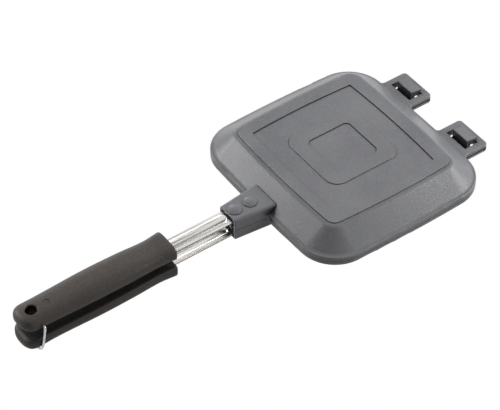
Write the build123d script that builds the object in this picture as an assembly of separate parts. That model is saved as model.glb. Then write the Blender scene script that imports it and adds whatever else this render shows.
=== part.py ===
from build123d import *
import os

# ---------------------------------------------------------------- driving sizes (mm)
# Everything is first laid out about the centre of the pan, with the two halves meeting at
# z = 0 and the handles running towards -X. Each piece is then moved to the part's own frame.

# pan shells
pan_half_x = 72.5            # rim, half its size along the handles
pan_half_y = 77.7            # and half its width across them
pan_crown = 2.2              # how far each side of the rim bows outwards
pan_corner_r = 28.0
rim_gap = 0.3                # left between the two rims when the iron is shut
lip_top = 3.5                # outer face of the rim's lip, above the parting plane
lip_flat = 2.0               # flat of the lip outside the flank
lip_edge_r = 1.0
plateau_half_x = 52.9
plateau_half_y = 58.0
plateau_crown = 1.7
plateau_corner_r = 6.5
plateau_top = 17.4           # resting face of each half, from the parting plane
plateau_step = 0.7           # the plateau stands this far proud of the flank
shoulder_out = 2.2           # the flank's top edge lies this far outside the plateau
shoulder_r = 5.4
foot_r = 4.0
wall = 3.2                   # casting wall under the plateau
rim_land = 3.6               # width of the flat face on which the halves meet
cavity_corner_r = 24.0
cavity_floor_half_x = 49.5
cavity_floor_half_y = 54.5
cavity_floor_corner_r = 8.0
cavity_floor_r = 5.0

# pressed figure on the plateau
panel_half_x = 43.9          # sharp-cornered sunk panel
panel_half_y = 48.5
panel_crown = 1.4
panel_depth = 0.8
plateau_edge = 0.3           # bevel round the plateau and the boss
boss_half = 29.2             # raised square in its middle
boss_corner_r = 9.5
boss_drop = 0.1              # the boss stays this far under the resting face
dish_half = 17.9             # sunk centre of the boss
dish_corner_r = 4.0
dish_depth = 0.8

# handle sockets cast on the pan
socket_length = 24.6         # outside the rim
socket_overlap = 7.5         # run of its top over the flank
socket_end_half = 9.1
socket_root_half = 12.5
socket_top = 9.3
socket_roof = 3.0
socket_mouth_depth = 3.5     # the roof is thinner over this length at its open end
socket_mouth_roof = 1.5
socket_wall = 1.9
socket_pocket_depth = 22.5   # pocket for the shaft, from the open end
socket_edge_r = 2.0
socket_end_r = 0.7
socket_root_r = 4.0          # hollow corner between the socket and the rim, in plan

# hinge tabs and hooks
tab_length = 20.4            # outside the rim
tab_in_y = 15.6
tab_width = 31.0
tab_corner_r = 3.0
tab_root_r = 2.6             # hollow corners between a tab and the rim
tab_edge_r = 1.0
tab_sink = 0.1               # the roots start this far inside the rim's side
tab_root_inset = 0.8         # the tab begins this far outside the cavity
window_from_rim = 3.6
window_length = 11.1
window_width = 20.6
lower_tab_bottom = 2.9
lower_window_margin = 0.9
hook_width = 15.6
hook_from_window = 3.8       # front of the hook, from the window's edge nearer the pan
hook_length = 9.0
hook_plate = 3.2
hook_top = 7.0
hook_tip_top = 5.6
hook_edge_r = 0.7
hinge_clearance = 0.3

# handle shafts
shaft_half = 6.6
shaft_thick = 1.2
bead_half = 4.4
bead_height = 1.5
bead_slope = 1.1
bead_groove_half = 3.7       # pressed from behind
bead_from_socket = 5.5
bead_in_grip = 7.5
shaft_in_grip = 65.0
shaft_seat_gap = 0.5

# rivets
rivet_from_end = 6.0         # first rivet, from the socket's open end
rivet_pitch = 12.5
rivet_shank_r = 2.4
rivet_head_r = 5.0
rivet_head_height = 1.7
rivet_head_side = 0.4
rivet_tail_r = 3.8
rivet_tail_height = 1.1
rivet_tail_edge_r = 0.5
hole_clearance = 0.05

# grips
shaft_showing = 47.9         # between the socket and the grip
grip_length = 117.4
grip_split = 1.5             # inner face of each grip, from the parting plane
grip_squareness = 0.75       # pull of the oval section's corners: 0.55 is an ellipse, 1 a square
grip_front_half, grip_front_height = 12.6, 14.9
grip_waist_from_front = 15.0
grip_waist_half, grip_waist_height = 12.6, 15.0
grip_belly_from_front = 60.0
grip_belly_half, grip_belly_height = 13.3, 15.5
grip_neck_from_tail = 24.0
grip_neck_half, grip_neck_height = 12.4, 15.2
grip_nose_from_tail = 10.7
grip_nose_half, grip_nose_height = 11.9, 14.8
grip_tip_half, grip_tip_height = 9.8, 11.4
grip_tip_r = 5.0
grip_front_r = 1.6
grip_inner_r = 1.6
mouth_length = 22.0          # the inner face turns away over this length, towards the tail
mouth_tip_z = 5.2
hang_hole_from_tail = 11.2
hang_hole_r = 4.0
hang_hole_edge = 0.6
slot_clearance = 0.1

# grip screws
screw_from_front = 48.5
screw_r = 1.9
screw_head_r = 3.5
screw_head_height = 1.9
screw_head_edge_r = 0.7
screw_seat_z = 3.7           # the head bears here, inside the grip
screw_tip_z = 11.0
screw_tip_taper = 0.8
screw_drive_width = 1.0
screw_drive_depth = 0.8

# wire bail
wire_r = 0.9
bail_pivot_from_tail = 13.0
bail_pivot_z = 8.0
bail_hole_clearance = 0.05
bail_hole_depth_y = 5.2      # blind end of the pivot holes, from the middle plane
bail_end_gap = 0.3
bail_half = 13.3
bail_lean = 1.2              # the bar hangs this much nearer the tail than the pivot
bail_bar_z = -16.9
bail_shoulder_r = 1.7
bail_corner_r = 5.0

# ---------------------------------------------------------------- worked-out places
face_z = rim_gap / 2
flank_corner_r = pan_corner_r - lip_flat
shoulder_z = plateau_top - plateau_step
panel_z = plateau_top - panel_depth
boss_z = plateau_top - boss_drop
cavity_top = plateau_top - panel_depth - wall
cavity_mouth_x = pan_half_x - rim_land
socket_end_x = -(pan_half_x + socket_length)
socket_inner_x = socket_overlap - pan_half_x
socket_pocket_x = socket_end_x + socket_pocket_depth
socket_ceiling = socket_top - socket_roof
rivet_x = (socket_end_x + rivet_from_end + rivet_pitch, socket_end_x + rivet_from_end)

tab_root_x = cavity_mouth_x + tab_root_inset
tab_end_x = pan_half_x + tab_length
tab_out_y = tab_in_y + tab_width
tab_mid_y = (tab_in_y + tab_out_y) / 2
window_in_x = pan_half_x + window_from_rim
window_out_x = window_in_x + window_length
hook_front_x = window_in_x + hook_from_window
hook_tip_x = hook_front_x + hook_length
rung_mid_x = (window_out_x + tab_end_x) / 2
rung_mid_z = (face_z + lip_top) / 2
hinge_seat_r = (tab_end_x - window_out_x) / 2 + hinge_clearance

grip_front_x = socket_end_x - shaft_showing
grip_end_x = grip_front_x - grip_length
mouth_start_x = grip_end_x + mouth_length
hang_hole_x = grip_end_x + hang_hole_from_tail
shaft_bottom = socket_ceiling - shaft_thick
shaft_end_x = grip_front_x - shaft_in_grip
bead_start_x = socket_end_x - bead_from_socket
bead_end_x = grip_front_x - bead_in_grip
screw_x = grip_front_x - screw_from_front
bail_pivot_x = grip_end_x + bail_pivot_from_tail
bail_bar_x = bail_pivot_x - bail_lean
middle_x = (tab_end_x + grip_end_x) / 2


# ---------------------------------------------------------------- shared outlines
def oblong(half_x, half_y, corner_r, crown=0.0):
    """Face of an oblong whose sides bow outwards by `crown`, with rounded corners."""
    near_x, near_y = half_x - crown, half_y - crown
    corners = [(near_x, near_y), (-near_x, near_y), (-near_x, -near_y), (near_x, -near_y)]
    middles = [(0, half_y), (-half_x, 0), (0, -half_y), (half_x, 0)]
    sides = Curve()
    for i, middle in enumerate(middles):
        start, end = corners[i], corners[(i + 1) % 4]
        sides += ThreePointArc(start, middle, end) if crown else Line(start, end)
    face = make_face(sides)
    return fillet(face.vertices(), corner_r) if corner_r else face


def rim_outline(inset, corner_r=pan_corner_r):
    """Outline of the rim, or one that runs inside it all round."""
    return oblong(pan_half_x - inset, pan_half_y - inset, corner_r, pan_crown)


def plateau_outline(outset=0.0):
    """Outline of the plateau, or one that runs outside it all round."""
    return oblong(plateau_half_x + outset, plateau_half_y + outset, plateau_corner_r + outset, plateau_crown)


def raised(face, bottom, top):
    """Solid between two heights with the given outline."""
    return extrude(Pos(0, 0, bottom) * face, top - bottom)


def block(x0, x1, y0, y1, z0, z1):
    """Box between two corners."""
    centre = ((x0 + x1) / 2, (y0 + y1) / 2, (z0 + z1) / 2)
    return Pos(*centre) * Box(abs(x1 - x0), abs(y1 - y0), abs(z1 - z0))


def edges_at(solid, z):
    """Edges that lie wholly at height z."""
    return solid.edges().filter_by_position(Axis.Z, z - 0.01, z + 0.01)


# ---------------------------------------------------------------- pan shells
def on_outline(edges, face):
    """Those of the edges that run along the border of a face."""
    border = face.face().outer_wire()
    return [edge for edge in edges if border.distance_to(edge @ 0.5) < 0.05]


def rim_lip():
    """Lip round the pan, run into the sides of the socket by hollow corners."""
    plan = rim_outline(0) + socket_plan(end_x=socket_end_x + socket_end_r)
    lip = raised(plan, face_z, lip_top)
    roots = [e for e in lip.edges().filter_by(Axis.Z) if abs(e.center().X + pan_half_x) < pan_crown]
    lip = fillet(roots, socket_root_r)
    return fillet(edges_at(lip, lip_top), lip_edge_r)


def pan_dome():
    """Outer form of one half: lip, sloping flank and the raised plateau."""
    foot = Pos(0, 0, lip_top) * rim_outline(lip_flat, flank_corner_r)
    flank = loft([foot, Pos(0, 0, shoulder_z) * plateau_outline(shoulder_out)], ruled=True)
    flank = fillet(edges_at(flank, shoulder_z), shoulder_r)
    dome = rim_lip() + flank
    dome = fillet(on_outline(edges_at(dome, lip_top), foot), foot_r)
    return dome + plateau_figure()


def plateau_figure():
    """Plateau with its sunk panel and the raised, dished boss in the middle."""
    slab = raised(plateau_outline(), shoulder_z - 1, plateau_top)
    slab = chamfer(edges_at(slab, plateau_top), plateau_edge)
    slab -= raised(oblong(panel_half_x, panel_half_y, 0, panel_crown), panel_z, plateau_top + 1)
    boss = raised(oblong(boss_half, boss_half, boss_corner_r), panel_z - 0.5, boss_z)
    boss = chamfer(edges_at(boss, boss_z), plateau_edge)
    dish = oblong(dish_half, dish_half, dish_corner_r)
    return slab + boss - raised(dish, boss_z - dish_depth, plateau_top + 1)


def cooking_cavity():
    """Hollow of one half, open at the parting plane."""
    mouth = rim_outline(rim_land, cavity_corner_r)
    floor = Pos(0, 0, cavity_top) * oblong(cavity_floor_half_x, cavity_floor_half_y, cavity_floor_corner_r)
    hollow = loft([mouth, floor], ruled=True)
    return fillet(edges_at(hollow, cavity_top), cavity_floor_r)


# ---------------------------------------------------------------- handle sockets
def socket_plan(inset=0.0, end_x=socket_end_x, inner_x=socket_inner_x):
    """Tapered plan of the socket, wider towards the pan."""
    spread = (socket_root_half - socket_end_half) / (socket_inner_x - socket_end_x)
    end_half = socket_end_half - inset + spread * (end_x - socket_end_x)
    root_half = socket_end_half - inset + spread * (inner_x - socket_end_x)
    corners = [(end_x, -end_half), (inner_x, -root_half), (inner_x, root_half), (end_x, end_half)]
    return make_face(Polyline(*corners, close=True))


def handle_socket():
    """Block that takes the shaft, with its edges eased and its root spread into the rim."""
    body = raised(socket_plan(), face_z, socket_top)
    long_edges = [e for e in edges_at(body, socket_top) if abs(e.center().Y) > 1]
    body = fillet(long_edges, socket_edge_r)
    end_edges = [e for f in body.faces().filter_by(Axis.X) for e in f.edges() if e.center().Z > face_z + 0.1]
    body = fillet(end_edges, socket_end_r)
    return body


def socket_pocket():
    """Hollow under the socket's roof, open at its end and at the parting plane."""
    pocket = raised(socket_plan(socket_wall, socket_end_x - 1, socket_pocket_x), -1, socket_ceiling)
    mouth = socket_plan(socket_wall, socket_end_x - 1, socket_end_x + socket_mouth_depth)
    return pocket + raised(mouth, -1, socket_top - socket_mouth_roof)


def rivet_holes():
    """Bores for both rivets, from below the shaft to above the roof."""
    bore = Cylinder(rivet_shank_r + hole_clearance, 4 * socket_top)
    return [Pos(x, 0, 0) * bore for x in rivet_x]


# ---------------------------------------------------------------- hinge
def both_sides(solid):
    """A piece and its mirror image across the middle plane."""
    return solid + mirror(solid, Plane.XZ)


def rim_at(y):
    """Where the bowed side of the rim stands at a distance y from the middle."""
    return pan_half_x - pan_crown * (y / (pan_half_y - pan_crown)) ** 2


def tab_plan():
    """Plan of one tab, reaching back under the rim, its roots hollowed into the rim's side."""
    inner_y, outer_y = tab_in_y - tab_root_r - 1, tab_out_y + tab_root_r + 1
    inner_x, outer_x = rim_at(inner_y) - tab_sink, rim_at(outer_y) - tab_sink
    corners = [(tab_root_x, inner_y), (inner_x, inner_y), (inner_x, tab_in_y), (tab_end_x, tab_in_y),
               (tab_end_x, tab_out_y), (outer_x, tab_out_y), (outer_x, outer_y), (tab_root_x, outer_y)]
    face = make_face(Polyline(*corners, close=True))
    sides = [v for v in face.vertices() if v.Y in (tab_in_y, tab_out_y)]
    face = fillet([v for v in sides if v.X < tab_end_x - 1], tab_root_r)
    return fillet(face.vertices().sort_by(Axis.X)[-2:], tab_corner_r)


def window(margin, bottom, top):
    """Window through a tab, wider all round by a margin."""
    half_width = window_width / 2 + margin
    return block(window_in_x - margin, window_out_x + margin, tab_mid_y - half_width,
                 tab_mid_y + half_width, bottom, top)


def upper_tab():
    """Windowed tab of the upper half; its outer rung is rounded to turn under the hook."""
    tab = raised(tab_plan(), face_z, lip_top)
    tab = eased_rim(eased_rim(tab, lip_top), face_z)
    tab -= window(0, -1, lip_top + 1)
    rung = [e for e in tab.edges().filter_by(Axis.Y) if abs(e.center().X - window_out_x) < 0.1]
    return fillet(rung, tab_edge_r)


def eased_rim(tab, z):
    """The tab with its free edges at one height rounded over."""
    free = [e for e in edges_at(tab, z) if e.center().X > pan_half_x - 0.1]
    return fillet(free, tab_edge_r)


def hinge_axle(radius):
    """Cylinder along the hinge axis, as wide as a tab and more."""
    across = tab_width + 4
    turned = Rot(90, 0, 0) * Cylinder(radius, across)
    return Pos(rung_mid_x, tab_mid_y, rung_mid_z) * turned


def lower_tab():
    """Tab of the lower half: a wider window, a round seat for the rung and the hook."""
    tab = raised(tab_plan(), -lower_tab_bottom, -face_z)
    tab = eased_rim(tab, -lower_tab_bottom)
    tab -= window(lower_window_margin, -lower_tab_bottom - 1, 1)
    return tab + hinge_hook() - hinge_axle(hinge_seat_r)


def hinge_hook():
    """Plate that rises through the window, with its top turned out over the rung."""
    back_x = hook_front_x + hook_plate
    profile = Polyline((window_in_x - 2, -lower_tab_bottom), (back_x, -lower_tab_bottom),
                       (back_x, rung_mid_z), (hook_tip_x, rung_mid_z), (hook_tip_x, hook_tip_top),
                       (hook_front_x, hook_top), (hook_front_x, -face_z),
                       (window_in_x - 2, -face_z), close=True)
    face = Plane(origin=(0, tab_mid_y, 0), x_dir=(1, 0, 0), z_dir=(0, -1, 0)) * make_face(profile)
    hook = extrude(face, hook_width / 2, both=True)
    top_edges = [e for e in hook.edges().filter_by(Axis.Y) if e.center().Z > hook_tip_top - 0.1]
    return fillet(top_edges, hook_edge_r)


# ---------------------------------------------------------------- the two castings
def half_casting(tab):
    """One half: dome, cavity, socket and a tab on each side of the middle plane."""
    outer = pan_dome() + handle_socket() + both_sides(tab)
    casting = outer - cooking_cavity() - socket_pocket()
    for bore in rivet_holes():
        casting -= bore
    return casting


def upper_pan():
    """Upper half, with windows in its tabs."""
    return half_casting(upper_tab())


def lower_pan():
    """Lower half, turned over, with the hooks rising from its tabs."""
    return mirror(half_casting(mirror(lower_tab(), Plane.XY)), Plane.XY)


# ---------------------------------------------------------------- shafts and rivets
def shaft_strip(slack=0.0):
    """Hat-section strip: flat flanges and a raised bead with round ends."""
    inner_end = socket_pocket_x - shaft_seat_gap + slack
    strip = block(shaft_end_x - slack, inner_end, -shaft_half - slack, shaft_half + slack,
                  shaft_bottom - slack, socket_ceiling + slack)
    return strip + bead_bulge(bead_half, bead_height, slack)


def bead_bulge(half, height, slack=0.0):
    """Raised bead along the strip, with sloping sides."""
    length = bead_start_x - bead_end_x + 2 * slack
    centre = Pos((bead_start_x + bead_end_x) / 2, 0, socket_ceiling)
    base = SlotOverall(length, 2 * (half + slack))
    top = SlotOverall(length - 2 * bead_slope, 2 * (half + slack - bead_slope))
    return centre * loft([Sketch() + base, Pos(0, 0, height + slack) * (Sketch() + top)], ruled=True)


def shaft():
    """Pressed strip, hollow under its bead, drilled for the rivets and the grip screw."""
    strip = shaft_strip()
    strip -= Pos(0, 0, -shaft_thick) * bead_bulge(bead_groove_half, bead_height)
    for bore in rivet_holes():
        strip -= bore
    return strip - Pos(screw_x, 0, 0) * Cylinder(screw_r + hole_clearance, 4 * socket_top)


def rivet(x):
    """Domed rivet through the socket's roof and the strip, closed over underneath."""
    shank_bottom = shaft_bottom - rivet_tail_height
    shank = Pos(x, 0, (socket_top + shank_bottom) / 2) * Cylinder(rivet_shank_r, socket_top - shank_bottom)
    tail = Pos(x, 0, shaft_bottom - rivet_tail_height / 2) * Cylinder(rivet_tail_r, rivet_tail_height)
    tail = fillet(edges_at(tail, shank_bottom), rivet_tail_edge_r)
    return shank + tail + Pos(x, 0, socket_top) * domed_head()


def domed_head():
    """Shallow dome over a short straight side."""
    rise = rivet_head_height - rivet_head_side
    dome_r = (rivet_head_r**2 + rise**2) / (2 * rise)
    return cup(rivet_head_r, rivet_head_height) & Pos(0, 0, rivet_head_height - dome_r) * Sphere(dome_r)


# ---------------------------------------------------------------- grips
def oval(x, half_width, height):
    """Oval section of the closed pair of grips at one place along them."""
    pull_y, pull_z = grip_squareness * half_width, grip_squareness * height
    quarter = Bezier((half_width, 0), (half_width, pull_z), (pull_y, height), (0, height))
    upper = Curve() + [quarter, mirror(quarter, Plane.YZ)]
    across = Plane(origin=(x, 0, 0), x_dir=(0, 1, 0), z_dir=(1, 0, 0))
    return across * make_face(upper + mirror(upper, Plane.XZ))


def grip_body():
    """Oval body of the closed pair, its ends eased."""
    stations = [(grip_front_x, grip_front_half, grip_front_height),
                (grip_front_x - grip_waist_from_front, grip_waist_half, grip_waist_height),
                (grip_front_x - grip_belly_from_front, grip_belly_half, grip_belly_height),
                (grip_end_x + grip_neck_from_tail, grip_neck_half, grip_neck_height),
                (grip_end_x + grip_nose_from_tail, grip_nose_half, grip_nose_height),
                (grip_end_x, grip_tip_half, grip_tip_height)]
    body = loft([oval(*station) for station in stations])
    body = fillet(body.faces().sort_by(Axis.X)[0].edges(), grip_tip_r)
    return fillet(body.faces().filter_by(Axis.X).sort_by(Axis.X)[-1].edges(), grip_front_r)


def grip_blank():
    """Upper half of the body, cut along its inner face and the mouth at the tail."""
    reach = 2 * grip_belly_half
    profile = Polyline((grip_front_x + 5, grip_split), (mouth_start_x, grip_split),
                       (grip_end_x - 5, mouth_tip_z), (grip_end_x - 5, 3 * grip_belly_height),
                       (grip_front_x + 5, 3 * grip_belly_height), close=True)
    side = Plane.XZ * make_face(profile)
    blank = grip_body() & extrude(side, reach, both=True)
    inner = [f for f in blank.faces() if f.normal_at(f.center()).Z < -0.9]
    rim = [e for f in inner for e in f.edges() if abs(e.center().Y) > 1 or e.center().X < mouth_start_x - 5]
    return fillet(rim, grip_inner_r)


def tang_slot():
    """Room in the grip for the end of the shaft, bead included."""
    return shaft_strip(slot_clearance)


def grip():
    """Upper grip: slot for the tang, hanging hole and the counterbored screw hole."""
    body = grip_blank()
    hole = Pos(hang_hole_x, 0, 0) * Cylinder(hang_hole_r, 4 * grip_belly_height)
    body -= hole
    body = chamfer(hole_rims(body), hang_hole_edge)
    body -= tang_slot()
    body -= Pos(screw_x, 0, screw_seat_z) * cup(screw_head_r + slot_clearance, -screw_seat_z)
    body -= Pos(screw_x, 0, screw_seat_z) * cup(screw_r + hole_clearance, screw_tip_z - screw_seat_z + 1)
    return body


def hole_rims(body):
    """Both rims of the hanging hole."""
    across = 2 * hang_hole_r
    boxes = [(edge, edge.bounding_box().size) for edge in body.edges()]
    return [edge for edge, size in boxes if abs(size.X - across) < 0.05 and abs(size.Y - across) < 0.05]


def cup(radius, depth):
    """Cylinder that starts at the origin and runs up, or down where depth is negative."""
    return Pos(0, 0, depth / 2) * Cylinder(radius, abs(depth))


def grip_screw():
    """Slotted pan-head screw that holds the tang against the grip."""
    head_bottom = screw_seat_z - screw_head_height
    head = Pos(screw_x, 0, screw_seat_z) * cup(screw_head_r, -screw_head_height)
    head = fillet(edges_at(head, head_bottom), screw_head_edge_r)
    slot = block(screw_x - screw_drive_width / 2, screw_x + screw_drive_width / 2, -screw_head_r,
                 screw_head_r, head_bottom, head_bottom + screw_drive_depth)
    shank = Pos(screw_x, 0, screw_seat_z) * cup(screw_r, screw_tip_z - screw_seat_z)
    shank = chamfer(edges_at(shank, screw_tip_z), screw_tip_taper)
    return head + shank - slot


# ---------------------------------------------------------------- wire bail
def bail_wire(radius, stub_end):
    """Wire bent to a U whose ends turn inwards to the pivot."""
    lean = (bail_bar_x - bail_pivot_x) / (bail_bar_z - bail_pivot_z)

    def at(y, z):
        return (bail_pivot_x + lean * (z - bail_pivot_z), y, z)

    corners = [at(-stub_end, bail_pivot_z), at(-bail_half, bail_pivot_z), at(-bail_half, bail_bar_z),
               at(bail_half, bail_bar_z), at(bail_half, bail_pivot_z), at(stub_end, bail_pivot_z)]
    bends = [bail_shoulder_r, bail_corner_r, bail_corner_r, bail_shoulder_r]
    path = FilletPolyline(*corners, radius=bends)
    section = Plane(origin=path @ 0, z_dir=path % 0) * Circle(radius)
    return sweep(section, path)


def bail():
    """Wire latch, its ends seated in blind holes in the upper grip."""
    return bail_wire(wire_r, bail_hole_depth_y + bail_end_gap)


def bail_holes():
    """Blind pivot holes, one in each side of the upper grip."""
    drill = Rot(90, 0, 0) * Cylinder(wire_r + bail_hole_clearance, 2 * bail_half)
    far = Pos(bail_pivot_x, bail_hole_depth_y + bail_half, bail_pivot_z) * drill
    return far + mirror(far, Plane.XZ)


# ---------------------------------------------------------------- assembly
def all_pieces():
    """Every piece of the iron by name, in the layout frame."""
    front, rear = (rivet(x) for x in rivet_x)
    upper = {"pan": upper_pan(), "shaft": shaft(), "front_rivet": front, "rear_rivet": rear,
             "grip": grip() - bail_holes(), "grip_screw": grip_screw()}
    lower = {"pan": lower_pan(), "shaft": mirror(upper["shaft"], Plane.XY),
             "front_rivet": mirror(front, Plane.XY), "rear_rivet": mirror(rear, Plane.XY),
             "grip": mirror(grip(), Plane.XY), "grip_screw": mirror(upper["grip_screw"], Plane.XY)}
    pieces = {"upper_" + name: piece for name, piece in upper.items()}
    pieces.update({"lower_" + name: piece for name, piece in lower.items()})
    pieces["bail"] = bail()
    return pieces


os.makedirs("parts", exist_ok=True)
to_part_frame = Pos(-middle_x, 0, plateau_top)
for name, piece in all_pieces().items():
    export_step(to_part_frame * piece, f"parts/{name}.step")
    print(f"{name}: {len(piece.solids())} solid, {piece.volume / 1000:.2f} cm3")
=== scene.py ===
# %% [markdown]
# # A pie iron, dressed for a studio view
# A pie iron is two shallow pans on long handles, hinged at the far end. Bread with a filling goes
# between the pans, a wire bail locks the two tails together, and the iron is held over a hob.
#
# The solid pieces are loaded as a fixed frame: each pan, shaft, rivet, grip and screw is a node in
# its true place. Nothing here moves or resizes a node. The cells below give the nodes a finish,
# put finer pieces in the place of five of them, and add a camera, a floor and lamps. Sizes are in
# metres, as in the frame.

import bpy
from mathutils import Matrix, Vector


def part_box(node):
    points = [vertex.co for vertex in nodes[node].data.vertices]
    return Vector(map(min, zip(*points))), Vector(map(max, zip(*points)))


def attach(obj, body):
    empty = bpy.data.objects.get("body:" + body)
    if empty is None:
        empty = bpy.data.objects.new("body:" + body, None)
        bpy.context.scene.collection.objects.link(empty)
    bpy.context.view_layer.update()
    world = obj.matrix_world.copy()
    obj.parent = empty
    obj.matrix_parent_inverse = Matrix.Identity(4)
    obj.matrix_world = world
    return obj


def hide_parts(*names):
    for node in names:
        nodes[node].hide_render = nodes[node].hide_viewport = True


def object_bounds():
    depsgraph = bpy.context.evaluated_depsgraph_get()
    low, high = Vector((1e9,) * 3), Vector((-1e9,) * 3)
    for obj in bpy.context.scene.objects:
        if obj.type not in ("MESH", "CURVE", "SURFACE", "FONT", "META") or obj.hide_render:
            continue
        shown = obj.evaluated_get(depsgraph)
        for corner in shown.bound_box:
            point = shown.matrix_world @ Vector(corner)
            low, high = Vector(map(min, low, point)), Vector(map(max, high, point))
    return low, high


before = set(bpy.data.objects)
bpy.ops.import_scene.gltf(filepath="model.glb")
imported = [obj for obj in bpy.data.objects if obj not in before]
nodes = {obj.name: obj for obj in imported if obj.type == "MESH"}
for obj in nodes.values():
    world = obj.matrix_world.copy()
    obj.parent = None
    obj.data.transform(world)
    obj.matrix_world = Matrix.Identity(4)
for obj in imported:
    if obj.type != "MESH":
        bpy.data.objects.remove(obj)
cad_low, cad_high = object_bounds()
print("solid box", [round(v, 4) for v in cad_low], [round(v, 4) for v in cad_high])

# %% [markdown]
# ## Modules and nodes
# `bpy` is Blender itself, `bmesh` edits a mesh point by point, and `mathutils` has the vectors
# and the rotations. The frame lists its nodes by the names of the pieces, so the names in this
# lesson are the ones that a person would use at the bench.

# %% Modules and the nodes by name
import math

import bmesh
import bpy
from mathutils import Quaternion, Vector

scene = bpy.context.scene
print(len(nodes), "nodes:", ", ".join(sorted(nodes)))

# %% [markdown]
# ## Camera
# A long lens from about a metre and a half away keeps the far side of the pan nearly as large as
# the near side, as in a catalogue. The camera could be dragged into place by hand, but an aim,
# three angles and a distance can be read and repeated. It stands on the handle's side and looks
# down at about 45 degrees, so the handle runs towards the lower left corner of the view. The roll
# tilts it slightly about its own line of sight.

# %% Camera
LENS_MM, SENSOR_MM = 149.757, 36.0
AIM = Vector((0.00982, 0.00501, 0.0175))
AZIMUTH, ELEVATION, ROLL = (math.radians(a) for a in (-34.869, 45.383, -0.847))
DISTANCE = 1.418187
FARTHEST = 20.0                                 # nothing beyond this distance is drawn

back = Vector((math.sin(AZIMUTH) * math.cos(ELEVATION),
               -math.cos(AZIMUTH) * math.cos(ELEVATION), math.sin(ELEVATION)))
camera = bpy.data.objects.new("camera", bpy.data.cameras.new("camera"))
scene.collection.objects.link(camera)
camera.data.lens, camera.data.sensor_width = LENS_MM, SENSOR_MM
camera.data.clip_end = FARTHEST
camera.rotation_mode = "QUATERNION"
camera.location = AIM + back * DISTANCE
camera.rotation_quaternion = (-back).to_track_quat("-Z", "Y") @ Quaternion((0, 0, 1), ROLL)
scene.camera = camera
scene.view_settings.view_transform = "Standard"
print("camera at", [round(v, 3) for v in camera.location])

# %% [markdown]
# ## Helpers for finishes
# Each finish is a tree of nodes round one Principled shader. Such a tree could be drawn by hand in
# the shader editor, but a small class keeps it to a few lines that can be read: `join` draws a
# link or sets a value, whichever fits, and `add` makes a node with its sockets filled. The
# patterns that the finishes share follow from these: noise, a ramp of tones, a spread of numbers,
# a bump and a mix.

# %% A finish and its patterns
MM = 0.001
COLOUR_A, COLOUR_B, MIXED = 6, 7, 2             # the Mix node's sockets for colours, and its output


class Finish:
    """A material with a Principled shader, and a plain way to add and join nodes."""

    def __init__(self, name, **sockets):
        self.material = bpy.data.materials.new(name)
        self.material.use_nodes = True
        self.tree = self.material.node_tree
        self.shader = self.tree.nodes["Principled BSDF"]
        self.give(**sockets)
        self.place = self.add("ShaderNodeTexCoord").outputs["Object"]

    def join(self, value, socket):
        """Links a node's output to a socket, or sets a plain value there."""
        if isinstance(value, bpy.types.NodeSocket):
            self.tree.links.new(value, socket)
        else:
            socket.default_value = value

    def fill(self, node, sockets):
        """Joins a value to each named socket; an underscore stands for a space."""
        for socket, value in sockets.items():
            self.join(value, node.inputs[socket.replace("_", " ")])

    def give(self, **sockets):
        """Fills sockets of the Principled shader."""
        self.fill(self.shader, sockets)

    def add(self, kind, **sockets):
        """A new node with its sockets filled."""
        node = self.tree.nodes.new(kind)
        self.fill(node, sockets)
        return node

    def noise(self, scale, detail=2.0, stretch=None):
        """Noise with so many grains to the metre, drawn out where a stretch is given."""
        place = self.place
        if stretch:
            place = self.add("ShaderNodeMapping", Vector=place, Scale=stretch).outputs["Vector"]
        node = self.add("ShaderNodeTexNoise", Vector=place, Scale=scale, Detail=detail)
        return node.outputs["Fac"]

    def ramp(self, factor, *stops):
        """Tones or colours at places between 0 and 1."""
        node = self.add("ShaderNodeValToRGB", Fac=factor)
        while len(node.color_ramp.elements) < len(stops):
            node.color_ramp.elements.new(0.5)
        for element, (at, shade) in zip(node.color_ramp.elements, stops):
            element.position = at
            element.color = (shade, shade, shade, 1) if isinstance(shade, float) else (*shade, 1)
        return node.outputs["Color"]

    def spread(self, factor, low, high):
        """A number that runs from low to high as the factor runs from 0 to 1."""
        node = self.add("ShaderNodeMapRange", Value=factor, To_Min=low, To_Max=high)
        return node.outputs["Result"]

    def bump(self, height, distance, strength):
        """A surface that only seems to rise and fall, by up to the distance."""
        node = self.add("ShaderNodeBump", Height=height, Distance=distance, Strength=strength)
        return node.outputs["Normal"]

    def mix(self, first, second, factor=1.0, blend="MIX"):
        """Two colours mixed; with MULTIPLY the second one shades the first."""
        node = self.add("ShaderNodeMix")
        node.data_type, node.blend_type = "RGBA", blend
        self.join(factor, node.inputs["Factor"])
        self.join(first, node.inputs[COLOUR_A])
        self.join(second, node.inputs[COLOUR_B])
        return node.outputs[MIXED]


print("finishes can be made from noise, ramps, spreads, bumps and mixes")

# %% [markdown]
# ## Painted shade in creases and underneath
# A flat colour looks like plastic, because on a real iron the narrow places are darker: little
# light gets into a crease or a hollow. Here that shade is painted into the colour. An Ambient
# Occlusion node finds such places by itself: it measures how closed in each spot is, within a
# reach. A short reach finds pressed lines and a long one finds hollows. The faces that look
# sideways or down get painted shade as well, and the height of the surface's normal says how
# dark they are.

# %% Darkening helpers
RAYS = 8                                        # rays that feel how closed in a spot is


def shaded(finish, colour, reach, *stops):
    """The colour with painted shade in creases narrower than about twice the reach."""
    hollow = finish.add("ShaderNodeAmbientOcclusion", Distance=reach)
    hollow.samples = RAYS
    return finish.mix(colour, finish.ramp(hollow.outputs["AO"], *stops), blend="MULTIPLY")


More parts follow.
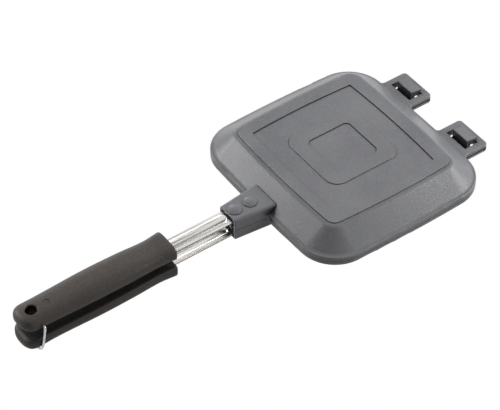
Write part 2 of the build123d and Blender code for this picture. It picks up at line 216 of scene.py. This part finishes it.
def painted_underside_shade(finish, colour, low, high, darkest):
    """The colour with painted shade: untouched where the normal's height is high and darkest where
    it is low.
    """
    normal = finish.add("ShaderNodeTexCoord").outputs["Normal"]
    facing = finish.add("ShaderNodeSeparateXYZ", Vector=normal)
    amount = finish.add("ShaderNodeMapRange", Value=facing.outputs["Z"],
                        From_Min=low, From_Max=high, To_Min=darkest, To_Max=1.0)
    return finish.mix(colour, amount.outputs["Result"], blend="MULTIPLY")


# smoke in this message stands for painted shade on faces that look sideways or down
print("creases and smoke ready")

# %% [markdown]
# ## Coated casting
# The pans are die-cast aluminium under a sprayed grey non-stick coat. Close to, such a coat has a
# fine orange-peel surface and tiny pale flakes, and its tone drifts slightly from place to place.
# An image could be wrapped over the pans for that, but noise needs no unwrapping and shows no
# seams. So there is one noise each for the drift, the flakes, the gloss and the peel. Painted shade
# darkens creases under a millimetre wide, such as the pressed lines of the figure, strongly, and
# hollows of a centimetre or two, such as the foot of the socket, softly. Faces that look sideways
# or down get painted shade as well.

# %% Coated casting
COAT_DARK, COAT_LIGHT = (0.188, 0.190, 0.203), (0.228, 0.230, 0.243)
FLAKE = (0.36, 0.365, 0.38, 1)
DRIFT, FLAKES, GLOSS, PEEL = 28, 900, 1500, 800             # grains to the metre
PRESSED_LINE, FOOT, PEEL_DEPTH = 0.9 * MM, 16 * MM, 0.11 * MM
coat = Finish("coated_casting", Metallic=0.0, Roughness=0.42, Specular_IOR_Level=0.36)

drift = coat.ramp(coat.noise(DRIFT, detail=3), (0.35, COAT_DARK), (0.65, COAT_LIGHT))
flakes = coat.ramp(coat.noise(FLAKES), (0.45, 0.0), (0.70, 0.25))
speckled = coat.mix(drift, FLAKE, flakes)
# painted shade: darker in pressed lines and hollows, and on faces that look sideways or down
crease_shaded = shaded(coat, speckled, PRESSED_LINE, (0.48, 0.10), (0.86, 1.0))
hollow_shaded = shaded(coat, crease_shaded, FOOT, (0.35, 0.20), (0.85, 1.0))
coat.give(Base_Color=painted_underside_shade(coat, hollow_shaded, low=-0.10, high=0.55, darkest=0.55),
          Roughness=coat.spread(coat.noise(GLOSS), 0.30, 0.42),
          Normal=coat.bump(coat.noise(PEEL), PEEL_DEPTH, 1.0))
print("coat tree has", len(coat.tree.nodes), "nodes")

# %% [markdown]
# ## Moulded resin
# The grips are black phenolic resin with a satin skin. Black resin is really a very dark warm
# brown, and its skin is never quite even: fine grain breaks up the highlight, and wide soft
# patches are smoother where hands rub it. So the grain runs between two browns, and a much wider
# noise drives the gloss. Painted shade darkens narrow places within 5 mm, and with the long reach
# of 40 mm it makes the groove between the closed grips nearly black. Faces that look sideways or
# down get painted shade as well.

# %% Moulded resin
RESIN_DARK, RESIN_LIGHT = (0.080, 0.069, 0.062), (0.104, 0.091, 0.082)
GRAIN, RUBBED, SKIN = 700, 60, 900                          # grains to the metre
EDGE, GROOVE, SKIN_DEPTH = 5 * MM, 40 * MM, 0.10 * MM
resin = Finish("moulded_resin", Roughness=0.42, Specular_IOR_Level=0.22)

grain = resin.ramp(resin.noise(GRAIN, detail=4), (0.35, RESIN_DARK), (0.65, RESIN_LIGHT))
# painted shade: darker in narrow places, nearly black in the groove, and on faces that look
# sideways or down
crease_shaded = shaded(resin, grain, EDGE, (0.30, 0.12), (0.75, 1.0))
hollow_shaded = shaded(resin, crease_shaded, GROOVE, (0.45, 0.06), (0.97, 1.0))
resin.give(Base_Color=painted_underside_shade(resin, hollow_shaded, low=-0.2, high=0.75, darkest=0.45),
           Roughness=resin.spread(resin.noise(RUBBED, detail=4), 0.36, 0.50),
           Normal=resin.bump(resin.noise(SKIN, detail=3), SKIN_DEPTH, 0.8))
print("resin tree has", len(resin.tree.nodes), "nodes")

# %% [markdown]
# ## Bright pressed steel
# The shafts are stainless strip, bright but not polished. Rolling leaves fine lines along the
# strip. An anisotropic shader could stand for them, but here a few of the lines can be seen one by
# one, so the noise is stretched along X until its grains are long hairs. The same hairs drive the
# tone, the gloss and a very shallow bump, so that all three agree.
# Painted shade darkens the steel in the narrow foot of the bead.

# %% Pressed steel
ALONG_X = (0.02, 1.0, 1.0)
HAIR, FACE, GLINT = (0.34, 0.325, 0.31), (0.88, 0.855, 0.83), (0.97, 0.955, 0.94)
HAIRS, HAIR_DEPTH, BEAD_FOOT = 1100, 0.03 * MM, 1.2 * MM    # HAIRS is grains to the metre
steel = Finish("pressed_steel", Metallic=1.0, Roughness=0.24)

hairs = steel.noise(HAIRS, detail=3, stretch=ALONG_X)
rolled = steel.ramp(hairs, (0.38, HAIR), (0.45, FACE), (0.60, GLINT))
# painted shade in the narrow foot of the bead
steel.give(Base_Color=shaded(steel, rolled, BEAD_FOOT, (0.35, 0.25), (0.80, 1.0)),
           Roughness=steel.spread(hairs, 0.18, 0.34),
           Normal=steel.bump(hairs, HAIR_DEPTH, 0.5))
print("steel tree has", len(steel.tree.nodes), "nodes")

# %% [markdown]
# ## Sheared edges with painted shade, and bright wire
# A shear tears the last part of the strip's thickness, so the long edges of the shafts are dull and
# a little dark; their colour is much darker still, as painted shade that draws a dark line along
# each edge. They get a finish of their own, which is simpler than a mask inside the steel. The
# bail is drawn wire with a bright plated skin and faint marks of the drawing. Both are plain
# metals, each with one noise for its tone and its gloss.

# %% Sheared edge and bright wire
EDGE_DARK, EDGE_LIGHT = (0.10, 0.095, 0.09), (0.24, 0.23, 0.22)
WIRE_DARK, WIRE_LIGHT = (0.36, 0.36, 0.37), (0.58, 0.58, 0.58)
NICKS, MARKS = 2500, 900                                    # grains to the metre

# painted shade: the edge colour is far darker than the steel, to draw a dark line along each edge
sheared_and_shaded = Finish("sheared_edge_painted_shade", Metallic=1.0, Roughness=0.45)
nicks = sheared_and_shaded.noise(NICKS)
sheared_and_shaded.give(Base_Color=sheared_and_shaded.ramp(nicks, (0.35, EDGE_DARK), (0.65, EDGE_LIGHT)),
             Roughness=sheared_and_shaded.spread(nicks, 0.35, 0.55))

wire = Finish("bright_wire", Metallic=1.0, Roughness=0.16)
marks = wire.noise(MARKS, detail=3)
wire.give(Base_Color=wire.ramp(marks, (0.3, WIRE_DARK), (0.7, WIRE_LIGHT)),
          Roughness=wire.spread(marks, 0.10, 0.24))
print("metals:", sheared_and_shaded.material.name, wire.material.name)

# %% [markdown]
# ## Grips
# Each grip is one moulding with a soft, changing section: nearly square where the shaft enters,
# rounder at the belly, and blunt at the tail. It could be sculpted, or grown from a box with a
# subdivision, but a grip is drawn as a row of sections with a skin over them, and it is built the
# same way here. The lower grip has a row of its own: it is a little shallower than the upper one
# along the hand, and deeper near the tail. The inner faces stand back from the plane between the
# halves, so a wide dark groove runs between the closed grips.

# %% Measures of the grips
upper_low, upper_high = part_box("upper_grip")
FRONT_X, TAIL_X = upper_high.x, upper_low.x
SPLIT_Z = (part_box("upper_shaft")[0].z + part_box("lower_shaft")[1].z) / 2   # between the halves
FRONT_ROUND = 1.8 * MM                          # easing of the front edge
TAIL_ROUND = 5.0 * MM                           # the tail's roundness seen from the side
TAIL_PLAN_ROUND = 9.0 * MM                      # the tail's roundness seen from above
print("grips", round((FRONT_X - TAIL_X) / MM, 1), "mm long, split at", round(SPLIT_Z, 4))

# %% [markdown]
# ## Sections along a grip
# A few stations say how wide, how high and how square the grip is, at distances from its front.
# Straight lines between them would leave a crease at every station, so the sizes follow a smooth
# curve that passes through each station and leans toward its neighbours there.

# %% Sections along a grip
# in mm: distance, half width, height above the split, inner face; then the outer squareness
STATIONS = {
    "upper": ((0, 11.8, 14.1, 3.8, 3.8), (14, 11.0, 13.3, 4.0, 3.4),
              (34, 11.8, 14.4, 4.3, 2.9), (60, 12.2, 14.9, 4.6, 2.6),
              (88, 11.6, 14.2, 4.8, 2.5), (100, 11.3, 13.9, 4.9, 2.5),
              (108, 11.4, 13.8, 4.9, 2.4), (117.4, 11.2, 13.4, 4.9, 2.3)),
    "lower": ((0, 11.7, 13.5, 3.0, 3.8), (14, 10.9, 12.9, 3.0, 3.4),
              (34, 11.6, 13.7, 3.1, 2.9), (60, 12.0, 14.1, 3.3, 2.6),
              (88, 11.5, 13.7, 3.5, 2.5), (100, 11.4, 14.0, 3.5, 2.5),
              (108, 11.6, 14.8, 3.5, 2.4), (117.4, 11.7, 13.9, 3.9, 2.3)),
}


def station(side, distance):
    """Section sizes at a distance in mm, by a smooth curve through the stations."""
    rows = STATIONS[side]
    row = max(i for i in range(len(rows) - 1) if rows[i][0] <= distance)
    first, second = rows[row], rows[row + 1]
    before, after = rows[max(row - 1, 0)], rows[min(row + 2, len(rows) - 1)]
    span = second[0] - first[0]
    t = (distance - first[0]) / span
    sizes = []
    for a, b, c, d in zip(before[1:], first[1:], second[1:], after[1:]):
        start = (c - a) / (second[0] - before[0]) * span
        end = (d - b) / (after[0] - first[0]) * span
        sizes.append(b * (2 * t**3 - 3 * t**2 + 1) + start * (t**3 - 2 * t**2 + t)
                     + c * (3 * t**2 - 2 * t**3) + end * (t**3 - t**2))
    return sizes


print("upper grip at 47 mm:", [round(size, 2) for size in station("upper", 47)])

# %% [markdown]
# ## One section
# A section is an oval whose corners can be pulled out: at power 2 it is an ellipse, and at higher
# powers it nears a rectangle. The outer corners are soft, to suit the palm. The inner ones, round
# the flat inner face, are crisp. Near both ends the oval shrinks along a round curve, so that the
# skin closes in a soft end.

# %% One section
WIDEST = 0.40                                   # where a section is widest, from its inner face up
INNER_SQUARENESS = 6.0
TAIL_PLAN_POWER = 2.3                           # the tail is a little blunter than a half circle


def shrink(distance, radius, power=2.0):
    """How much of full size is left at a distance from a rounded end."""
    return (1 - (1 - min(distance / radius, 1.0)) ** power) ** (1 / power)


def section(side, distance, count=72):
    """Ring of points round one section, on the upper side of the split plane."""
    *sizes, squareness = station(side, distance / MM)
    half, top, inner = (size * MM for size in sizes)
    from_tail = (FRONT_X - TAIL_X) - distance
    middle = inner + WIDEST * (top - inner)
    eased = FRONT_ROUND * (1 - shrink(distance, FRONT_ROUND))
    across = (half - eased) * shrink(from_tail, TAIL_PLAN_ROUND, TAIL_PLAN_POWER)
    up = (top - eased - middle) * shrink(from_tail, TAIL_ROUND)
    down = (middle - inner - eased / 2) * shrink(from_tail, TAIL_ROUND)
    ring = []
    for i in range(count):
        turn = 2 * math.pi * i / count
        cos, sin = math.cos(turn), math.sin(turn)
        power = squareness if sin > 0 else INNER_SQUARENESS
        y = across * math.copysign(abs(cos) ** (2 / power), cos)
        z = middle + (up if sin > 0 else down) * math.copysign(abs(sin) ** (2 / power), sin)
        ring.append(Vector((FRONT_X - distance, y, z)))
    return ring


belly = section("upper", 60 * MM)
print("belly", round(2 * max(point.y for point in belly) / MM, 1), "mm wide")

# %% [markdown]
# ## A skin through sections
# Where a shape closes in a round end, its sections have to crowd together, or the end looks
# faceted. Steps along a quarter circle crowd them by themselves. The skin joins each ring to the
# next with four-sided faces and closes both ends, so that the result is one closed mesh, which
# can be cut and joined safely. Rings about an upright axis give turned pieces, such as a drill.

# %% Places of the sections
def crowded(reach, count):
    """Distances from an end, close together there and wider apart toward the reach."""
    return [reach * (1 - math.cos(math.pi / 2 * i / count)) for i in range(count + 1)]


def distances(steps=56):
    """Places of a grip's sections, from the front to the tail."""
    length = FRONT_X - TAIL_X
    front = crowded(FRONT_ROUND, 6)
    tail = [length - d for d in crowded(TAIL_PLAN_ROUND, 16)[:0:-1]]
    middle = [front[-1] + (tail[0] - front[-1]) * i / steps for i in range(1, steps)]
    return front + middle + tail


print(len(distances()), "sections on each grip")

# %% Skins
def skin(name, rings):
    """Closed mesh through a row of rings, with a cap at both ends."""
    mesh = bpy.data.meshes.new(name)
    work = bmesh.new()
    rows = [[work.verts.new(point) for point in ring] for ring in rings]
    for row, following in zip(rows, rows[1:]):
        for i in range(len(row)):
            j = (i + 1) % len(row)
            work.faces.new((row[i], row[j], following[j], following[i]))
    work.faces.new(rows[0][::-1])
    work.faces.new(rows[-1])
    bmesh.ops.recalc_face_normals(work, faces=work.faces)
    work.to_mesh(mesh)
    work.free()
    piece = bpy.data.objects.new(name, mesh)
    scene.collection.objects.link(piece)
    return piece


def turned(name, radii, x, sides=48):
    """Solid of revolution about an upright axis, from (radius, height) pairs."""
    return skin(name, [[Vector((x + radius * math.cos(2 * math.pi * i / sides),
                                radius * math.sin(2 * math.pi * i / sides), z))
                        for i in range(sides)] for radius, z in radii])


print("skins and turned tools ready")

# %% [markdown]
# ## Cutting, turning over and smoothing
# A mould makes a hole with a pin, and here a turned solid does the same: a boolean subtracts it
# from the grip, and another boolean adds a collar. The exact solver is slower than the fast one,
# but it leaves clean edges. Smooth shading hides the facets of a skin. It would also smear the
# rim of a hole, so the edges that bend sharply are kept crisp.

# %% Cut, turn over and smooth
def combine(piece, tool, operation="DIFFERENCE"):
    """Cuts one closed mesh out of another, or joins the two, and removes the tool."""
    modifier = piece.modifiers.new("combine", "BOOLEAN")
    modifier.operation, modifier.solver, modifier.object = operation, "EXACT", tool
    graph = bpy.context.evaluated_depsgraph_get()
    result = bpy.data.meshes.new_from_object(piece.evaluated_get(graph))
    piece.modifiers.clear()
    piece.data = result
    bpy.data.objects.remove(tool)


def seat(piece, up):
    """Sets a piece on the split plane: up is 1 for the upper half, and -1 turns it over."""
    for vertex in piece.data.vertices:
        vertex.co.z = SPLIT_Z + up * vertex.co.z
    if up < 0:
        piece.data.flip_normals()


def smooth(piece, degrees=35):
    """Smooth shading, with edges sharper than an angle kept crisp."""
    for face in piece.data.polygons:
        face.use_smooth = True
    work = bmesh.new()
    work.from_mesh(piece.data)
    for edge in work.edges:
        if len(edge.link_faces) == 2:
            edge.smooth = edge.calc_face_angle() < math.radians(degrees)
    work.to_mesh(piece.data)
    work.free()


print("tools for cutting and smoothing ready")

# %% [markdown]
# ## Both grips, with the hanging hole
# The hanging hole runs through both tails and flares at its outer rim, so a hook slides in
# easily. Inside the upper grip a short collar stands round it. Near the tail the upper grip also
# has a small round print, left by the pin that pushes the moulding out of its mould.

# %% Both grips
HOLE_X, HOLE_R = TAIL_X + 11.2 * MM, 4.0 * MM
RIM_Z, FLARE = 13.1 * MM, 2.6 * MM              # the hole flares above this height, by so much
COLLAR_R, COLLAR_LOW, COLLAR_HIGH = 5.6 * MM, 2.8 * MM, 7.5 * MM
MARK_X, MARK_R, MARK_Z = TAIL_X + 22.8 * MM, 2.2 * MM, 13.75 * MM
CLEAR = 5 * MM                                  # a cutting tool stands this far out of the grip


def grip_piece(side, up):
    """One grip, with its own row of sections."""
    piece = skin(side + "_grip_moulding", [section(side, d) for d in distances()])
    if up > 0:
        collar = turned("collar", [(COLLAR_R, COLLAR_LOW), (COLLAR_R, COLLAR_HIGH)], HOLE_X)
        combine(piece, collar, "UNION")
    bore = [(HOLE_R, -CLEAR), (HOLE_R, RIM_Z), (HOLE_R + FLARE, RIM_Z + FLARE)]
    combine(piece, turned("drill", bore, HOLE_X))
    if up > 0:
        combine(piece, turned("pin", [(MARK_R, MARK_Z), (MARK_R, MARK_Z + CLEAR)], MARK_X))
    seat(piece, up)
    smooth(piece)
    piece.data.materials.clear()
    piece.data.materials.append(resin.material)
    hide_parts(side + "_grip")
    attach(piece, side + "_half")
    print(piece.name, "has", len(piece.data.polygons), "faces")


for side, up in (("upper", 1), ("lower", -1)):
    grip_piece(side, up)

# %% [markdown]
# ## Shafts
# Each shaft is a strip with a raised bead pressed up its middle, hollow behind, which makes thin
# steel stiff. The bead fades out in a round end close to the socket. A bevelled box would do for
# the strip, but not for the soft sides of the bead, so the shaft is a skin through sections too.

# %% Measures of the shafts
shaft_low, shaft_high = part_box("upper_shaft")
STRIP_HALF, STRIP_THICK, EDGE_EASE = 6.6 * MM, 1.2 * MM, 0.25 * MM
STRIP_Z = shaft_low.z - SPLIT_Z                 # the strip's inner face, from the split plane
BEAD_HALF, BEAD_RISE, HOLLOW_HALF = 4.3 * MM, 1.5 * MM, 3.6 * MM
BEAD_FULLNESS = 3.5                             # higher is flatter on top and steeper at the sides
BEAD_FRONT_X = FRONT_X + 47.5 * MM              # just short of the socket
BEAD_RUNOUT = 1.5 * MM                          # length over which the bead reaches its height
ROUND_END = 6 * MM                              # length over which its sections are close
print("shafts", round((shaft_high.x - shaft_low.x) / MM, 1), "mm long")

# %% Section of a shaft
def bulge(half, rise, base, count=15):
    """Points over a smooth bead, from -Y to +Y."""
    points = []
    for i in range(count):
        t = -1 + 2 * i / (count - 1)
        across = math.sin(t * math.pi / 2)
        points.append((half * across, base + rise * (1 - abs(across) ** BEAD_FULLNESS)))
    return points


def strip_section(x):
    """Ring round the upper strip at X: its outer face with the bead, then its inner face."""
    behind = BEAD_FRONT_X - x
    plan = shrink(behind, BEAD_HALF) if behind > 0 else 0
    rise = BEAD_RISE * (shrink(behind, BEAD_RUNOUT) if behind > 0 else 0)
    outer, inner = STRIP_Z + STRIP_THICK, STRIP_Z
    edge, ease = STRIP_HALF, EDGE_EASE
    ring = [(-edge, inner + ease), (-edge, outer - ease), (-edge + ease, outer)]
    ring += bulge(BEAD_HALF * plan, rise, outer)
    ring += [(edge - ease, outer), (edge, outer - ease), (edge, inner + ease), (edge - ease, inner)]
    ring += bulge(HOLLOW_HALF * plan, rise, inner)[::-1]
    ring += [(-edge + ease, inner)]
    return [Vector((x, y, z)) for y, z in ring]


print(len(strip_section(FRONT_X)), "points round a shaft")

# %% [markdown]
# ## Both shafts
# The lower shaft is the upper one turned over. The faces along the two long edges get the dark
# edge finish, whose colour is partly painted shade, and all others the bright one: a mesh may hold
# several finishes, and each face says which one it wears.

# %% Both shafts
SIDEWAYS = 0.9                                  # a face looks sideways from this share on


def strip_piece(side, up):
    """One shaft; the lower one is the upper one turned over."""
    near = [BEAD_FRONT_X - d for d in crowded(ROUND_END, 20)[:0:-1]]
    places = [shaft_low.x] + near + [BEAD_FRONT_X, shaft_high.x]
    piece = skin(side + "_shaft_strip", [strip_section(x) for x in places])
    seat(piece, up)
    smooth(piece, degrees=40)
    # the edge faces wear the dark finish, whose colour is partly painted shade
    for finish in (steel, sheared_and_shaded):
        piece.data.materials.append(finish.material)
    for face in piece.data.polygons:
        outermost = abs(face.center.y) > STRIP_HALF - EDGE_EASE
        face.material_index = int(abs(face.normal.y) > SIDEWAYS and outermost)
    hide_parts(side + "_shaft")
    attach(piece, side + "_half")
    print(piece.name, "has", len(piece.data.polygons), "faces")


for side, up in (("upper", 1), ("lower", -1)):
    strip_piece(side, up)

# %% [markdown]
# ## Bail
# The bail is one bent wire. It leaves the upper grip at right angles, turns down beside the lower
# one, leans back a little and passes underneath in a wide bend. A curve with a round bevel would
# be quick to draw. A skin over rings is as easy here, because the skin is there already, and it
# gives a closed mesh at once.

# %% Measures of the bail
WIRE_R = 0.85 * MM
PIVOT_X, PIVOT_Z = TAIL_X + 13.0 * MM, SPLIT_Z + 8.0 * MM
END_Y = 10.0 * MM                               # where the wire ends in its holes
LEG_Y = 13.4 * MM                               # where the legs turn down
BAR_Y, BAR_Z = 11.8 * MM, SPLIT_Z - 15.9 * MM   # where they meet the crossbar
LEAN = 3.4 * MM                                 # how far the crossbar lies behind the pivots
SIDE_SLACK = -0.8 * MM                          # it has slid a little to one side in its holes
ELBOW_R, BEND_R = 2.2 * MM, 9.0 * MM
print("bail", round((PIVOT_Z - BAR_Z) / MM, 1), "mm high")

# %% Path and tube
def rounded(corners, radii, steps=10):
    """Path through corners, each one replaced by a smooth bend that starts a radius before it."""
    path = [corners[0]]
    for before, corner, after, radius in zip(corners, corners[1:], corners[2:], radii):
        start = corner + (before - corner).normalized() * radius
        end = corner + (after - corner).normalized() * radius
        for i in range(steps + 1):
            t = i / steps
            path.append(start * (1 - t) ** 2 + corner * 2 * t * (1 - t) + end * t**2)
    return path + [corners[-1]]


def tube(name, path, radius, sides=16):
    """Round wire along a path that never runs along X."""
    rings = []
    for i, point in enumerate(path):
        ahead = path[min(i + 1, len(path) - 1)] - path[max(i - 1, 0)]
        first = ahead.cross(Vector((1, 0, 0))).normalized()
        second = ahead.cross(first).normalized()
        turns = [2 * math.pi * k / sides for k in range(sides)]
        rings.append([point + radius * (math.cos(a) * first + math.sin(a) * second) for a in turns])
    return skin(name, rings)


print("bends and tubes ready")

# %% Bend the bail
near_leg = [Vector((PIVOT_X, -END_Y, PIVOT_Z)), Vector((PIVOT_X, -LEG_Y, PIVOT_Z)),
            Vector((PIVOT_X - LEAN, -BAR_Y, BAR_Z))]
far_leg = [Vector((v.x, -v.y, v.z)) for v in reversed(near_leg)]
wire_path = rounded(near_leg + far_leg, (ELBOW_R, BEND_R, BEND_R, ELBOW_R))
wire_path = [v + Vector((0, SIDE_SLACK, 0)) for v in wire_path]
bail_wire = tube("bail_wire", wire_path, WIRE_R)
smooth(bail_wire, degrees=60)
bail_wire.data.materials.append(wire.material)
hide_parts("bail")
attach(bail_wire, "bail")
print("bail bent,", len(wire_path), "points along the wire")

# %% [markdown]
# ## Finish each node
# The pans, the rivets and the screws are right as they come, so they only need a finish. The
# rivets are set before the pans are sprayed, so they wear the coat as well. A node's name begins
# with its half, and the rest says what kind of piece it is, so one short table is enough.

# %% Finish each node
FINISHES = {"pan": coat, "front_rivet": coat, "rear_rivet": coat, "shaft": steel, "grip": resin,
            "grip_screw": steel, "bail": wire}

for name in sorted(nodes):
    kind = name.split("_", 1)[1] if "_" in name else name
    materials = nodes[name].data.materials
    materials.clear()
    materials.append(FINISHES[kind].material)
print("finished", len(nodes), "nodes")

# %% [markdown]
# ## Floor
# The iron lies on white paper. A real studio bends the paper up behind the object and lights it
# until it has no edge. Here the same is done with a question to each ray: the camera, a mirror
# and a glass see plain white, and every other ray meets paper that takes shadows and gives light
# back to the underside of the iron.

# %% Questions to a ray
def any_of(tree, *rays):
    """1 for rays of the named kinds and 0 for all others."""
    path = tree.nodes.new("ShaderNodeLightPath")
    total = path.outputs[rays[0]]
    for ray in rays[1:]:
        either = tree.nodes.new("ShaderNodeMath")
        either.operation = "MAXIMUM"
        tree.links.new(total, either.inputs[0])
        tree.links.new(path.outputs[ray], either.inputs[1])
        total = either.outputs[0]
    return total


print("rays can be told apart")

# %% Floor
FLOOR_HALF = 3.0
PAPER = 0.75                                    # share of the light that the paper gives back
SQUARE = ((-1, -1), (1, -1), (1, 1), (-1, 1))

floor_mesh = bpy.data.meshes.new("floor")
corners = [(x * FLOOR_HALF, y * FLOOR_HALF, cad_low.z) for x, y in SQUARE]
floor_mesh.from_pydata(corners, [], [(0, 1, 2, 3)])
floor = bpy.data.objects.new("floor", floor_mesh)
scene.collection.objects.link(floor)

paper = Finish("white_paper", Roughness=0.9, Specular_IOR_Level=0.1,
               Base_Color=(PAPER, PAPER, PAPER, 1))
glow = paper.add("ShaderNodeEmission", Color=(1, 1, 1, 1), Strength=1.0)
cover = paper.add("ShaderNodeMixShader")
seen_plain = any_of(paper.tree, "Is Camera Ray", "Is Glossy Ray", "Is Transmission Ray")
paper.join(seen_plain, cover.inputs[0])
paper.join(paper.shader.outputs[0], cover.inputs[1])
paper.join(glow.outputs[0], cover.inputs[2])
paper.join(cover.outputs[0], paper.tree.nodes["Material Output"].inputs["Surface"])
floor_mesh.materials.append(paper.material)
print("paper laid at", round(cad_low.z, 4))

# %% [markdown]
# ## World
# Round the paper stand white studio walls under a dimmer ceiling. Lit evenly from all sides, the
# iron would look flat, so as a light the walls are kept very low and the lamps do the work. Bright
# steel is different: it shows what stands round it, so in a reflection the walls are white and
# grow dimmer with height. To the camera they are plain white.

# %% World
WALL_LIGHT = 0.03                               # what the walls add as a light
CEILING = 0.30                                  # how bright the ceiling is in a reflection
DIM_FROM, DIM_TO = 0.10, 0.55                   # heights between which a reflection grows dimmer

world = bpy.data.worlds.new("studio")
scene.world = world
world.use_nodes = True
tree = world.node_tree
sky = tree.nodes["Background"]
mirrored = tree.nodes.new("ShaderNodeBackground")
plain_white = tree.nodes.new("ShaderNodeBackground")
for background, strength in ((sky, WALL_LIGHT), (mirrored, 1.0), (plain_white, 1.0)):
    background.inputs["Color"].default_value = (1, 1, 1, 1)
    background.inputs["Strength"].default_value = strength

toward = tree.nodes.new("ShaderNodeTexCoord")
height = tree.nodes.new("ShaderNodeSeparateXYZ")
walls = tree.nodes.new("ShaderNodeMapRange")
tree.links.new(toward.outputs["Generated"], height.inputs[0])
tree.links.new(height.outputs["Z"], walls.inputs["Value"])
for socket, value in (("From Min", DIM_FROM), ("From Max", DIM_TO),
                      ("To Min", 1.0), ("To Max", CEILING)):
    walls.inputs[socket].default_value = value
tree.links.new(walls.outputs["Result"], mirrored.inputs["Strength"])

in_metal = tree.nodes.new("ShaderNodeMixShader")
seen = tree.nodes.new("ShaderNodeMixShader")
for blend, factor, plain, special in (
        (in_metal, any_of(tree, "Is Glossy Ray"), sky, mirrored),
        (seen, any_of(tree, "Is Camera Ray", "Is Transmission Ray"), in_metal, plain_white)):
    tree.links.new(factor, blend.inputs[0])
    tree.links.new(plain.outputs[0], blend.inputs[1])
    tree.links.new(special.outputs[0], blend.inputs[2])
tree.links.new(seen.outputs[0], tree.nodes["World Output"].inputs["Surface"])
print("walls light", WALL_LIGHT, "ceiling", CEILING)

# %% [markdown]
# ## Lamps
# Five square lamps stand round the iron. Each one is a large soft box, because a small lamp would
# draw hard shadows and tiny glints. The left and the front lamp are the strong ones, and they give
# each flank of the pan its own tone. The wide lamp overhead fills the top faces, and the lamps
# beyond the hinge and the far flank brighten the edges there.

# %% Lamps
def softbox(name, toward, distance, side, watts):
    """A square lamp that stands off in a direction and faces the pan."""
    lamp = bpy.data.lights.new(name, "AREA")
    lamp.shape, lamp.size, lamp.size_y, lamp.energy = "RECTANGLE", side, side, watts
    holder = bpy.data.objects.new(name, lamp)
    scene.collection.objects.link(holder)
    direction = Vector(toward).normalized()
    holder.location = AIM + direction * distance
    holder.rotation_mode = "QUATERNION"
    holder.rotation_quaternion = direction.to_track_quat("Z", "Y")


# name, direction from the pan, distance and side in metres, power in watts
softbox("left", (-0.50, 0.72, 0.48), 1.0, 0.45, 6.7)
softbox("front", (0.75, -0.40, 0.52), 1.1, 0.5, 9.2)
softbox("top", (0.40, 0.58, 0.71), 1.7, 1.2, 2.2)
softbox("hinge", (0.95, 0.00, 0.35), 1.7, 0.6, 2.2)
softbox("back", (0.30, 0.90, 0.30), 1.7, 0.6, 2.9)
